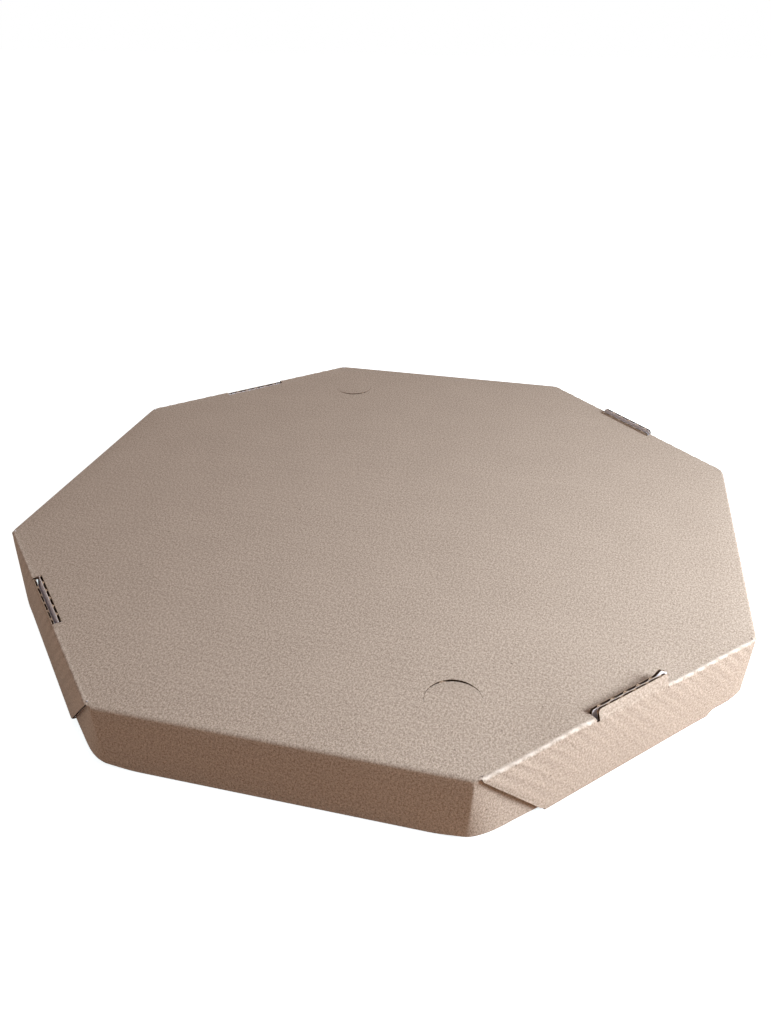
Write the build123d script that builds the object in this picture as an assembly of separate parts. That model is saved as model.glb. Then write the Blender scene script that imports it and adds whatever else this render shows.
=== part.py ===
from build123d import *

import math
import os

# A two-piece octagonal pizza box of fluted board: a lid whose skirt slides down over a tray.
# Each is folded from one die-cut sheet. Its four single walls carry on round the corners as
# corner flaps. Its four double walls roll over those flaps, and a tab on each inner leaf locks
# in a slot at the fold. The tongue that is cut out to open the slot stands up in line with the
# outer leaf: on the lid it rises above the top, and under the tray it makes a foot.
# Frame: millimetres, origin on the surface below the middle of the box, +Z up. The flutes of
# the board run along X, so the walls at -Y and +Y fold along the flutes.

# Board
BOARD = 2.8                 # thickness of the sheet
PLY_GAP = 0.2               # air between plies that lie against each other
FOLD_RADIUS = 2.0           # outside of a crease round the panel
ROLL_RADIUS = 2.5           # outside of the two creases along a rolled edge
BEND_RADIUS = 10.0          # outside of the soft upright bend where a wall turns a corner

# Lid
LID_FLATS = 450.0           # across the single walls
LID_WALL = 40.0             # depth of the skirt, top face to lower edge
DOUBLE_PROUD = 2.0          # double walls stand this much further out than single ones

# Ends of a double wall's outer leaf, leaning in from the corner of the panel
SLANT_BESIDE_Y = 45.0       # degrees, at the end next to a -Y or +Y wall
SLANT_BESIDE_X = 32.0       # degrees, at the end next to a -X or +X wall

# Lock in the middle of a double wall
LOCK_LENGTH = 50.0          # slot along the fold, and the tongue cut from it
TONGUE_RISE = 6.0           # tongue above the panel's outer face
TAB_RISE = 3.0              # tab above the panel's outer face
TAB_PLAY = 1.0              # slot beyond the tab, at each end
LOCK_ROUND = 2.0            # corners of tongue and tab
SHOULDER_DROP = 14.0        # inner leaf's upper edge below the panel's outer face
SHOULDER_TAPER = 6.0        # inner leaf's ends lean in by this much up to the shoulder

# Corner flaps, between the two leaves
FLAP_PLAY = 2.0             # flap's free end clear of the lock
FLAP_NOTCH = 12.0           # free end cut back at its upper corner
FLAP_RAMP = 5.0             # length over which the lower edge steps up over the rolled edge

# Fit of the lid on the tray
FIT_PLAY = 1.2              # lid's inner leaf to tray's outer leaf
REST_GAP = 0.3              # lid's panel to tray's rim
SKIRT_LIFT = 1.0            # skirt's lower edge above the surface

# Steam vents in the lid: half-moon slits over two opposite corners
VENT_RADIUS = 15.0          # middle of the slit
VENT_SLIT = 0.6             # width of the slit
VENT_INSET = 29.0           # uncut chord in from the circle that touches the single walls
VENT_BEARINGS = (-67.5, 112.5)

# Sizes that follow
CAVITY = BOARD + 2 * PLY_GAP                # between the leaves of a double wall
DOUBLE_WALL = 2 * BOARD + CAVITY
LID_DIAGONALS = LID_FLATS + 2 * DOUBLE_PROUD
TRAY_DIAGONALS = LID_DIAGONALS - 2 * (DOUBLE_WALL + FIT_PLAY)
TRAY_FLATS = TRAY_DIAGONALS - 2 * DOUBLE_PROUD
VENT_REACH = LID_FLATS / 2 - VENT_INSET
LID_TOP = SKIRT_LIFT + LID_WALL
TRAY_WALL = LID_TOP - BOARD - REST_GAP - TONGUE_RISE

SQRT2 = math.sqrt(2)
SINGLE_BEARINGS = (-90, 0, 90, 180)
DOUBLE_BEARINGS = (-45, 45, 135, 225)


def facing(bearing):
    """Turn from a wall's own frame, with +Y outwards and +X along it, to the wall's bearing."""
    return Rot(0, 0, bearing - 90)


def across(outline, inner, outer):
    """Carry a face drawn as (along the wall, height) outwards from inner to outer."""
    return extrude(Plane.XZ.offset(-inner) * outline, amount=inner - outer)


def along(section, half_length):
    """Carry a face drawn as (outwards, height) along the wall, both ways from its middle."""
    return extrude(Plane.YZ * section, amount=half_length, both=True)


def polygon(*points):
    """Face inside a closed run of straight lines."""
    return make_face(Polyline(*points, close=True))


def rounded_tab(half_length, low, high):
    """Upright strip from low to high with its two upper corners rounded."""
    strip = polygon((-half_length, low), (half_length, low), (half_length, high), (-half_length, high))
    return fillet(strip.vertices().group_by(Axis.Y)[-1], LOCK_ROUND)


def panel(flats, diagonals):
    """Octagonal panel, outer face at height 0, with its folds rounded."""
    octagon = Rectangle(flats, flats) & Rot(0, 0, 45) * Rectangle(diagonals, diagonals)
    plate = extrude(octagon, amount=-BOARD)
    return fillet(plate.faces().sort_by(Axis.Z)[-1].edges(), FOLD_RADIUS)


def single_wall(flats, diagonals, wall):
    """Single wall with a corner flap bent round each end, behind the outer leaves beside it."""
    flap_end = LOCK_LENGTH / 2 + FLAP_PLAY

    def face_line(face, flap_face, radius):
        corner = flap_face * SQRT2 - face
        end = ((flap_face - flap_end) / SQRT2, (flap_face + flap_end) / SQRT2)
        return FilletPolyline((-end[0], end[1]), (-corner, face), (corner, face), end, radius=radius)

    face = flats / 2
    flap_face = diagonals / 2 - BOARD - PLY_GAP
    outside = face_line(face, flap_face, BEND_RADIUS)
    inside = face_line(face - BOARD, flap_face - BOARD, BEND_RADIUS - BOARD)
    left_end = Line(outside @ 0, inside @ 0)
    right_end = Line(outside @ 1, inside @ 1)
    strip = make_face([outside, right_end, inside, left_end])
    upright = Pos(0, 0, -wall) * extrude(strip, amount=wall - BOARD - PLY_GAP)

    # Only the straight stretch between the two bends reaches the panel.
    half_fold = flap_face * SQRT2 - face - BEND_RADIUS * math.tan(math.radians(22.5))
    middle = face - BOARD / 2
    head = Pos(0, middle, -BOARD - PLY_GAP / 2) * Box(2 * half_fold, BOARD, PLY_GAP)
    return upright + head


def flap_relief(face, wall, left_foot, right_foot):
    """Space between the leaves that the corner flaps leave free: over the roll and at the lock."""
    low, step = -wall, -wall + BOARD + PLY_GAP
    roll = polygon(
        (-left_foot - FLAP_RAMP, low), (right_foot + FLAP_RAMP, low),
        (right_foot + PLY_GAP, step), (-left_foot - PLY_GAP, step),
    )
    reach = LOCK_LENGTH / 2 + FLAP_PLAY
    lock = polygon(
        (-reach - FLAP_NOTCH, -BOARD), (reach + FLAP_NOTCH, -BOARD),
        (reach, -SHOULDER_DROP), (-reach, -SHOULDER_DROP),
    )
    cavity_inside = face - BOARD - CAVITY
    cavity_outside = face - BOARD
    return across(roll, cavity_inside, cavity_outside) + across(lock, cavity_inside, cavity_outside)


def double_wall(flats, diagonals, wall, left_foot, right_foot):
    """Outer leaf, rolled lower edge, inner leaf with its tab, and tongue, as one fold of board."""
    face = diagonals / 2
    half_fold = flats / SQRT2 - face
    leaf_back = face - BOARD
    inner_front = leaf_back - CAVITY
    inner_back = inner_front - BOARD

    # The board runs down the outer leaf, round the rolled edge and up the inner leaf. Above the
    # shoulder the inner leaf leans out, so that its tab passes close behind the tongue.
    tab_front = leaf_back - PLY_GAP
    tab_back = tab_front - BOARD
    lean_top = -BOARD - PLY_GAP
    section = polygon(
        (leaf_back, -BOARD), (face, -BOARD), (face, -wall), (inner_back, -wall),
        (inner_back, -SHOULDER_DROP), (tab_back, lean_top), (tab_back, TAB_RISE), (tab_front, TAB_RISE),
        (tab_front, lean_top), (inner_front, -SHOULDER_DROP), (inner_front, BOARD - wall),
        (leaf_back, BOARD - wall),
    )
    section = fillet(section.vertices().group_by(Axis.Y)[0], ROLL_RADIUS)

    outer_outline = polygon((-half_fold, 0), (half_fold, 0), (right_foot, -wall), (-left_foot, -wall))
    inner_outline = polygon(
        (-left_foot, -wall), (right_foot, -wall),
        (right_foot - SHOULDER_TAPER, -SHOULDER_DROP), (SHOULDER_TAPER - left_foot, -SHOULDER_DROP),
    )
    tab_outline = rounded_tab(LOCK_LENGTH / 2 - TAB_PLAY, -SHOULDER_DROP, TAB_RISE)
    outlines = across(outer_outline, leaf_back, face)
    outlines += across(inner_outline + tab_outline, inner_back, leaf_back)
    leaves = along(section, half_fold) & outlines

    tongue = across(rounded_tab(LOCK_LENGTH / 2, -BOARD, TONGUE_RISE), leaf_back, face)
    return leaves + tongue


def lock_slot(diagonals):
    """Opening in the panel between the tongue's root and the slot's inner edge."""
    slot_width = BOARD + 2 * PLY_GAP
    middle = diagonals / 2 - BOARD - slot_width / 2
    return Pos(0, middle, -BOARD / 2) * Box(LOCK_LENGTH, slot_width, BOARD)


def folded_sheet(flats, diagonals, wall):
    """One folded sheet with its panel's outer face at height 0, facing up, and its walls hanging."""
    half_fold = flats / SQRT2 - diagonals / 2
    foot_beside_y = half_fold - wall * math.tan(math.radians(SLANT_BESIDE_Y))
    foot_beside_x = half_fold - wall * math.tan(math.radians(SLANT_BESIDE_X))

    sheet = panel(flats, diagonals)
    flaps = Part()
    for bearing in SINGLE_BEARINGS:
        flaps += facing(bearing) * single_wall(flats, diagonals, wall)
    leaves = Part()
    for index, bearing in enumerate(DOUBLE_BEARINGS):
        feet = (foot_beside_x, foot_beside_y) if index % 2 == 0 else (foot_beside_y, foot_beside_x)
        flaps -= facing(bearing) * flap_relief(diagonals / 2, wall, *feet)
        leaves += facing(bearing) * double_wall(flats, diagonals, wall, *feet)
        sheet -= facing(bearing) * lock_slot(diagonals)
    return sheet + flaps + leaves


def vent_slit(bearing):
    """Half-moon slit, bulging towards the centre, with its chord left uncut."""
    ring = Circle(VENT_RADIUS + VENT_SLIT / 2) - Circle(VENT_RADIUS - VENT_SLIT / 2)
    outer_radius = VENT_RADIUS + VENT_SLIT
    half = Pos(-outer_radius / 2, 0) * Rectangle(outer_radius, 2 * outer_radius)
    slit = extrude(ring & half, amount=-BOARD)
    return Rot(0, 0, bearing) * Pos(VENT_REACH, 0, 0) * slit


def lid():
    """Lid, right way up, with its skirt just clear of the surface."""
    sheet = folded_sheet(LID_FLATS, LID_DIAGONALS, LID_WALL)
    for bearing in VENT_BEARINGS:
        sheet -= vent_slit(bearing)
    return Pos(0, 0, LID_TOP) * sheet


def base_tray():
    """Tray, walls up, standing on its four tongues."""
    return Pos(0, 0, TONGUE_RISE) * Rot(180, 0, 0) * folded_sheet(TRAY_FLATS, TRAY_DIAGONALS, TRAY_WALL)


os.makedirs("parts", exist_ok=True)
for name, make in {"base_tray": base_tray, "lid": lid}.items():
    solids = make().solids()
    export_step(solids[0] if len(solids) == 1 else Compound(solids), f"parts/{name}.step")
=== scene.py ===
"""Looks of an octagonal pizza box of fluted board: a lid over a tray, each one folded sheet.

Each sheet is laid out flat first, as the blank that a die cuts, and meshed there. Every point of
the blank is then carried to its place by the formula of the wall that it belongs to, the white
back of the sheet follows one board thickness behind, and every cut edge shows its open flutes.
Sizes inside the sheets are in millimetres, and the finished meshes are in metres.
"""

from __future__ import annotations

import logging
import math
from dataclasses import dataclass
from enum import Enum, IntEnum

import bpy
import numpy as np
from mathutils import Matrix, Vector
from mathutils.geometry import delaunay_2d_cdt

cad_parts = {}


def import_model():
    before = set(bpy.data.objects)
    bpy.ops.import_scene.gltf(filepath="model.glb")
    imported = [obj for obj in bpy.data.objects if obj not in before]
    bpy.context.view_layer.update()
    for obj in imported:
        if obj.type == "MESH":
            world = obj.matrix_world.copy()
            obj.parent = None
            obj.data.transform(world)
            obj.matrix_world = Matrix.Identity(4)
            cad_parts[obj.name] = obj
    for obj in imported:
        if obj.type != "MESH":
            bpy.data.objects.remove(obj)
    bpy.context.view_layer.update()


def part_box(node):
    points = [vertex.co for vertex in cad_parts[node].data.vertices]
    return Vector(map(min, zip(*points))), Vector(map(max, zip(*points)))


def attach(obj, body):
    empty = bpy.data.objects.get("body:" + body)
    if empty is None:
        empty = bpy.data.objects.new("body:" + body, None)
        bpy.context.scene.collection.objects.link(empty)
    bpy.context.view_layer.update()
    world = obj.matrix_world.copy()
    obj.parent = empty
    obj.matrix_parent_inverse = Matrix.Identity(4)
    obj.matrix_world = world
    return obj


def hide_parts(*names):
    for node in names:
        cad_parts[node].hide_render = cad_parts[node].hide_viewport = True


LOG = logging.getLogger("pizza_box")
MM = 0.001
BLANK_UV = "blank"
SQRT2 = math.sqrt(2.0)
EIGHTH = math.pi / 4
QUARTER = math.pi / 2
NEAR = 1e-6             # lengths that differ by less are the same
CLEAR = 0.4             # grid points keep this far from the cuts
FINE_STEP = 1.5         # grid along the folds that cross the flutes
PANEL_STEP = 9.0        # grid on the panel
WALL_SPAN = 96.0        # half the length of the grid on a double wall
FLAP_SPAN = 190.0       # half the length of the grid on a single wall with its flaps
LONGEST_STEP = 4.0      # between points along a cut
SHARP = math.radians(40.0)
SKIRT = 40.0            # depth of the lid's walls
TONGUE = 6.0            # how far the frame's tongues stand past the panel
HEADROOM = 0.4          # more room between the tray's walls and the lid than the frame leaves

Line = list[tuple[float, float]]
Folded = tuple[np.ndarray, np.ndarray, np.ndarray]
Colour = tuple[float, float, float]


def smooth_step(low: float, high: float, value: np.ndarray) -> np.ndarray:
    """Rise from 0 at low to 1 at high with level ends: 3t^2 - 2t^3."""
    t = np.clip((value - low) / (high - low), 0.0, 1.0)
    return t * t * (3.0 - 2.0 * t)


def evenly(low: float, high: float, step: float) -> np.ndarray:
    """Values from low to high, both included, no further apart than step."""
    return np.linspace(low, high, max(2, math.ceil((high - low) / step) + 1))


def arc(centre: tuple[float, float], radius: float, begin: float, end: float) -> Line:
    """Five points on a circle from one angle to another, in degrees."""
    angles = np.radians(np.linspace(begin, end, 5))
    return [(centre[0] + radius * math.cos(t), centre[1] + radius * math.sin(t)) for t in angles]


def inside(points: np.ndarray, loops: list[np.ndarray]) -> np.ndarray:
    """Even-odd test: a point is inside if a ray from it crosses the loops an odd number of times.

    Args:
        points: Points of the plane.
        loops: Corners of closed lines.

    Returns:
        Whether each point is inside.
    """
    odd = np.zeros(len(points), bool)
    x, y = points[:, 0], points[:, 1]
    for loop in loops:
        for (x0, y0), (x1, y1) in zip(loop, np.roll(loop, -1, axis=0)):
            if y0 != y1:
                crosses = (y0 > y) != (y1 > y)
                odd ^= crosses & (x < (x1 - x0) * (y - y0) / (y1 - y0) + x0)
    return odd


def clearance(points: np.ndarray, loops: list[np.ndarray]) -> np.ndarray:
    """Distance of points from the nearest cut.

    Args:
        points: Points of the plane.
        loops: Corners of closed lines.

    Returns:
        One distance for each point.
    """
    nearest = np.full(len(points), np.inf)
    for loop in loops:
        for begin, end in zip(loop, np.roll(loop, -1, axis=0)):
            run = end - begin
            share = np.clip((points - begin) @ run / max(run @ run, 1e-12), 0.0, 1.0)
            gap = points - begin - share[:, None] * run
            nearest = np.minimum(nearest, np.hypot(gap[:, 0], gap[:, 1]))
    return nearest


@dataclass(frozen=True)
class Board:
    """Fluted board in millimetres: two liners with a wavy core between them.

    Attributes:
        thickness: Over both liners.
        crushed: Thickness at a cut edge, where the die has pressed the board.
        crush_reach: Distance from a cut at which the board has its full thickness.
        ply_gap: Air between plies that lie against each other.
        liner: Thickness of one liner.
        core: Thickness of the paper of the wave.
        core_gap: Smallest gap between the core and a liner.
        pitch: Length of one wave across the flutes, which run along X of the blank.
        recess: Depth to which the open flutes are hollow behind a cut edge.
        flattened: Power that narrows the core's crests where the die has flattened them.
    """

    thickness: float = 2.8
    crushed: float = 1.7
    crush_reach: float = 5.0
    ply_gap: float = 0.2
    liner: float = 0.18
    core: float = 0.15
    core_gap: float = 0.02
    pitch: float = 6.0
    recess: float = 1.9
    flattened: float = 6.0

    @property
    def ply(self) -> float:
        """Distance from one ply to the next."""
        return self.thickness + self.ply_gap

    def core_depth(self, across: np.ndarray) -> np.ndarray:
        """Depth of the core's middle below a cut's outer edge.

        The core lies against the back, with a narrow crest on each flute: a sine of the pitch,
        brought to 0..1 and raised to a power.

        Args:
            across: Places across the flutes.

        Returns:
            One depth for each place.
        """
        highest = self.liner + self.core / 2 + self.core_gap
        lowest = self.crushed - highest
        crest = (0.5 + 0.5 * np.sin(2 * math.pi * across / self.pitch)) ** self.flattened
        return lowest - (lowest - highest) * crest

    def depth_at(self, clear: np.ndarray) -> np.ndarray:
        """Thickness at a distance from the nearest cut."""
        return self.crushed + (self.thickness - self.crushed) * smooth_step(0.5, self.crush_reach, clear)


class Track:
    """A line in a wall's section, as a chain of straight and bent pieces followed by length."""

    def __init__(self, start: tuple[float, float], pieces: Line) -> None:
        """Lay the pieces end to end, starting outwards.

        Args:
            start: First point, as (outwards, up).
            pieces: Length and turn of each piece, the turn in radians and 0 on a straight one.
        """
        self.start = start
        self.pieces = pieces
        self.knots = np.concatenate(([0.0], np.cumsum([length for length, _ in pieces])))

    def at(self, length: np.ndarray) -> tuple[np.ndarray, np.ndarray]:
        """Point reached after each length: the sum of what every piece adds up to that length.

        Args:
            length: Distance along the track. Beyond either end the track runs straight on.

        Returns:
            The outward and the upward coordinate.
        """
        out = self.start[0] + np.minimum(length, 0.0)
        up = np.full_like(out, self.start[1])
        heading = 0.0
        for (piece, turn), begin in zip(self.pieces, self.knots):
            local = np.clip(length - begin, 0.0, piece)
            if turn == 0.0:
                out = out + local * math.cos(heading)
                up = up + local * math.sin(heading)
            else:
                bend = turn / piece
                out = out + (np.sin(heading + bend * local) - math.sin(heading)) / bend
                up = up - (np.cos(heading + bend * local) - math.cos(heading)) / bend
            heading += turn
        rest = np.maximum(length - self.knots[-1], 0.0)
        return out + rest * math.cos(heading), up + rest * math.sin(heading)


class Zone(IntEnum):
    """Stretch of the blank that shares one folding formula."""

    PANEL = 0
    SINGLE = 1
    DOUBLE = 2
    TONGUE = 3


class Face(IntEnum):
    """Material slots of a sheet."""

    KRAFT = 0
    WHITE = 1
    CUT = 2
    HOLLOW = 3


@dataclass(frozen=True)
class Wall:
    """One side of the octagon, with +a along it (clockwise from above) and +o outwards.

    Attributes:
        bearing: Direction that it faces, in degrees from +X.
    """

    bearing: float

    @property
    def double(self) -> bool:
        """Rolled double walls face the diagonals."""
        return self.bearing % 90 != 0

    @property
    def zone(self) -> Zone:
        """Zone of the wall's leaves."""
        return Zone.DOUBLE if self.double else Zone.SINGLE

    @property
    def out(self) -> np.ndarray:
        """Unit vector outwards."""
        angle = math.radians(self.bearing)
        return np.array([math.cos(angle), math.sin(angle)])

    @property
    def along(self) -> np.ndarray:
        """Unit vector along the wall."""
        angle = math.radians(self.bearing)
        return np.array([math.sin(angle), -math.cos(angle)])

    def to_blank(self, a: np.ndarray, o: np.ndarray) -> np.ndarray:
        """Points of the blank from their places along the wall and outwards."""
        return np.outer(a, self.along) + np.outer(o, self.out)

    def line(self, corners: Line, start: float = 0.0) -> np.ndarray:
        """Points of the blank from corners given as (along, outwards past start)."""
        a, o = np.array(corners).T
        return self.to_blank(a, start + o)


WALLS = tuple(Wall(-90.0 + 45.0 * index) for index in range(8))


@dataclass
class Blank:
    """Points of the flat sheet.

    Attributes:
        xy: Their places.
        zone: Zone that each belongs to.
        wall: Wall that each belongs to, or -1.
    """

    xy: np.ndarray
    zone: np.ndarray
    wall: np.ndarray

    @classmethod
    def of(cls, xy: np.ndarray, zone: Zone, wall: int = -1) -> Blank:
        """Points that all lie in one zone of one wall."""
        count = len(xy)
        return cls(np.asarray(xy, float), np.full(count, int(zone)), np.full(count, wall))

    @classmethod
    def joined(cls, parts: list[Blank]) -> Blank:
        """Several sets of points as one."""
        columns = ([part.xy for part in parts], [part.zone for part in parts], [part.wall for part in parts])
        return cls(*(np.concatenate(column) for column in columns))

    def moved(self, dx: float, dy: float) -> Blank:
        """The same points shifted in the plane of the blank."""
        return Blank(self.xy + np.array([dx, dy]), self.zone, self.wall)

    def chosen(self, keep: np.ndarray) -> Blank:
        """The points for which keep is true."""
        return Blank(self.xy[keep], self.zone[keep], self.wall[keep])


@dataclass(frozen=True)
class Lock:
    """Tongue, slot and tab in the middle of one double wall, in millimetres.

    Attributes:
        shift: Middle of the slot along the wall.
        back: Depth of the slot behind the wall's outer face.
        trim: How much shorter the slot is at its -a end.
        play: Gap between the tongue and either end of the slot.
        rise: Height of the tongue above the panel.
        tilt: Slope of the tops of tongue and tab along the wall.
        lean: How far the tongue's top leans inwards.
        tab_drop: How far the tab's top stays below its full height.
        tab_lean: How far the tab's top leans inwards.
        ear: Height to which the tab is bent up near its -a end.
    """

    shift: float = 0.0
    back: float = 6.0
    trim: float = 0.0
    play: float = 0.3
    rise: float = 6.0
    tilt: float = 0.0
    lean: float = 0.0
    tab_drop: float = 0.0
    tab_lean: float = 0.0
    ear: float = 0.0


@dataclass(frozen=True)
class Flap:
    """Cut of the flaps at the ends of two facing single walls, in millimetres and degrees.

    Attributes:
        trim: How much they are cut short of the room beside the lock.
        slope: Angle at which their upper edge falls away from the panel.
        rise: Height of their lower edge above the wall's.
        corner_rise: Height of the lower edge at the corner.
        corner_reach: Length of the wall's lower edge that rises to it.
    """

    trim: float = 0.0
    slope: float = 0.0
    rise: float = 2.2
    corner_rise: float = 2.2
    corner_reach: float = 24.0


@dataclass
class FoldedSheet:
    """One die-cut sheet folded into an octagonal tray, panel up and walls hanging, in millimetres.

    Attributes:
        flats: Across the single walls.
        wall: Depth of the walls from the panel's outer face.
        board: The board that it is cut from.
        locks: Locks of the double walls, in the order of the walls.
        flaps: Flaps of the walls at -Y and +Y, then of those at -X and +X.
        slant_beside_y: Slope in degrees of a double wall's end beside a wall at -Y or +Y.
        slant_beside_x: The same beside a wall at -X or +X.
        double_proud: How much further out the double walls stand than the single ones.
        single_fold: Radius of a single wall's fold.
        double_fold: Radius of a double wall's fold.
        roll: Radius of the two bends of a rolled edge.
        leaf_bend: Radius of the bends between which an inner leaf leans out.
        bend_top: Radius of an upright corner at the fold.
        bend_low: Radius of an upright corner at the lower edge.
        spring: Length over which a flap springs out past its corner.
        crease_shift: How far the upright bend lies before the line where the walls meet.
        crease_lean: How much further before it the bend lies at the lower edge.
        tuck_reach: Length over which a flap goes behind the outer leaf.
        slot: Length of the lock slots.
        slot_round: Radius of a tongue's corners.
        slot_kerf: Width of the cut behind a tongue.
        tab_rise: Full height of a tab above the panel.
        tab_play: Gap between a tab and either end of its slot.
        ear_inset: Distance of a tab's ear from the slot's end.
        ear_width: Half the width of a tab's ear.
        shoulder_drop: Depth of an inner leaf's shoulder below the panel's outer face.
        shoulder_taper: How much shorter the shoulder is than the rolled edge, at each end.
        foot_round: Rounding of the outer leaf's lower corners.
        flap_play: Gap between a flap and the lock.
        flap_notch: How far a flap's end is cut back at its upper corner.
        flap_ramp: Length over which a flap's lower edge steps up over the rolled edge.
        flap_neck: Distance past the panel's corner at which a flap has its full height.
        flap_heel: Distance past the upright corner at which its lower edge turns to the corner's rise.
        flap_least: Least height of a flap's end.
        ridge: Height of the teeth along a slanting fold.
        lip: Height to which the panel swells towards a slanting fold.
        lip_reach: Distance over which that fades.
        dent: Depth of the dents below a slanting fold.
    """

    flats: float
    wall: float
    board: Board = Board()
    locks: tuple[Lock, ...] = (Lock(),) * 4
    flaps: tuple[Flap, Flap] = (
        Flap(), Flap(trim=4.0, slope=16.0, rise=-0.6, corner_rise=0.6, corner_reach=14.0),
    )
    slant_beside_y: float = 43.0
    slant_beside_x: float = 36.0
    double_proud: float = 2.0
    single_fold: float = 1.9
    double_fold: float = 1.4
    roll: float = 1.8
    leaf_bend: float = 2.5
    bend_top: float = 0.6
    bend_low: float = 1.4
    spring: float = 9.0
    crease_shift: float = 2.5
    crease_lean: float = 2.0
    tuck_reach: float = 28.0
    slot: float = 50.0
    slot_round: float = 2.0
    slot_kerf: float = 0.3
    tab_rise: float = 3.0
    tab_play: float = 0.4
    ear_inset: float = 5.0
    ear_width: float = 2.2
    shoulder_drop: float = 14.0
    shoulder_taper: float = 6.0
    foot_round: float = 2.2
    flap_play: float = 2.0
    flap_notch: float = 12.0
    flap_ramp: float = 3.0
    flap_neck: float = 9.0
    flap_heel: float = 9.0
    flap_least: float = 6.0
    ridge: float = 0.45
    lip: float = 0.15
    lip_reach: float = 3.0
    dent: float = 0.2

    def __post_init__(self) -> None:
        """Work out the lines of the blank and the two wall sections."""
        self.face = self.flats / 2
        self.diagonal = self.face + self.double_proud
        self.single_start = self.face - self.single_fold
        self.double_start = self.diagonal - self.double_fold
        self.crease = self.diagonal * SQRT2 - self.face
        self.half_double = self.face * SQRT2 - self.diagonal
        self.single_arc = self.single_fold * QUARTER
        self.double_arc = self.double_fold * QUARTER
        self.root = self.double_start + self.double_arc
        self.single_track = Track(
            (self.single_start, 0.0),
            [(self.single_arc, -QUARTER), (self.wall - self.single_fold, 0.0)],
        )
        ply = self.board.ply
        fall = self.shoulder_drop - ply
        lean = math.atan2(ply, fall)
        cut = self.leaf_bend * math.tan(lean / 2)
        roll_arc = self.roll * QUARTER
        self.double_track = Track(
            (self.double_start, 0.0),
            [
                (self.double_arc, -QUARTER),
                (self.wall - self.double_fold - self.roll, 0.0),
                (roll_arc, -QUARTER),
                (2 * ply + self.board.thickness - 2 * self.roll, 0.0),
                (roll_arc, -QUARTER),
                (self.wall - self.roll - self.shoulder_drop - cut, 0.0),
                (self.leaf_bend * lean, -lean),
                (math.hypot(ply, fall) - 2 * cut, 0.0),
                (self.leaf_bend * lean, lean),
                (self.tab_rise + ply - cut, 0.0),
            ],
        )

    def start(self, double: bool) -> float:
        """Distance of a fold from the middle of the panel."""
        return self.double_start if double else self.single_start

    def corner(self, double: bool) -> float:
        """Half length of a fold, up to the corner of the flat panel."""
        return self.start(not double) * SQRT2 - self.start(double)

    def foot(self, beside_y: bool) -> float:
        """Distance of a rolled edge's end from the middle of its wall."""
        slant = self.slant_beside_y if beside_y else self.slant_beside_x
        return self.half_double - self.wall * math.tan(math.radians(slant))

    def lift(self, xy: np.ndarray) -> np.ndarray:
        """Height of the panel above its flat plane at points of it."""
        return np.zeros(len(xy))

    def flare(self, index: int, a: np.ndarray) -> np.ndarray:
        """How far a double wall's lower edge stands out beyond its fold, along the wall."""
        return np.zeros_like(a)

    def flap_flare(self, index: int, a: np.ndarray) -> np.ndarray:
        """How far the flaps inside a double wall stand out at their lower edges."""
        return self.flare(index, a)

    def vent_slits(self) -> list[np.ndarray]:
        """Cuts of the steam vents in the blank, none on a plain sheet."""
        return []

    def outline(self, index: int) -> Line:
        """Cut line of a wall as (along, past the fold), +a end first."""
        return self.double_outline(index) if WALLS[index].double else self.single_outline(index)

    def single_outline(self, index: int) -> Line:
        """Cut line of a single wall and its corner flaps.

        Args:
            index: Which wall.

        Returns:
            Corners as (along, past the fold), +a end first.
        """
        flap = self.flaps[index // 2 % 2]
        edge = self.single_track.knots[-1]
        corner = self.corner(False)
        head = self.single_arc + self.board.ply - self.single_fold
        slope = math.tan(math.radians(flap.slope))
        flap_end = self.crease + self.half_double - self.slot / 2 - self.flap_play - flap.trim
        notch = flap_end - self.flap_notch
        notch_top = head + slope * (notch - corner)
        lower = edge - self.board.ply
        notch_low = min(notch_top + self.flap_notch, lower - self.flap_least)
        ramp = self.crease + self.half_double - self.foot(index % 4 == 0)
        share = np.linspace(0.0, 1.0, 7)
        half = [
            (corner, 0.0), (corner + 1.5, 0.5 * self.single_arc), (corner + 3.0, self.single_arc + 0.4),
            (corner + self.flap_neck, head + slope * self.flap_neck), (notch, notch_top),
            (flap_end, notch_low), (flap_end, lower),
            (ramp, lower), (ramp - self.flap_ramp, edge - flap.rise),
            (self.crease + self.flap_heel, edge - (0.7 * flap.rise + 0.3 * flap.corner_rise)),
            *zip(
                self.crease + 2.0 - flap.corner_reach * share,
                edge - flap.corner_rise * (1.0 - smooth_step(0.0, 1.0, share)),
            ),
        ]
        return half + [(-a, s) for a, s in reversed(half)]

    def double_outline(self, index: int) -> Line:
        """Cut line of a double wall's leaves and tab.

        Args:
            index: Which wall.

        Returns:
            Corners as (along, past the fold), +a end first.
        """
        lock, knots = self.locks[index // 2], self.double_track.knots
        tab, rounding = self.slot / 2 - self.tab_play, 0.5 * self.slot_round
        shoulder, top = knots[6], knots[-1] - lock.tab_drop

        def half(foot: float, tab: float) -> Line:
            """One end of the cut line, up to the top of the tab."""
            low = foot - 0.5 * self.foot_round
            return [
                (self.corner(True), 0.0), (self.half_double - 1.4, 0.8 * knots[1]),
                (foot + self.foot_round, knots[2] - self.foot_round), (low, knots[2]), (low, knots[5]),
                (foot - self.shoulder_taper, shoulder), (tab, shoulder),
                *arc((tab - rounding, top - rounding), rounding, 0, 90),
            ]

        y_ahead = index % 4 == 1
        ahead = half(self.foot(y_ahead), tab + lock.shift)
        behind = half(self.foot(not y_ahead), tab - lock.shift)
        return ahead + [(-a, s) for a, s in reversed(behind)]

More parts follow.
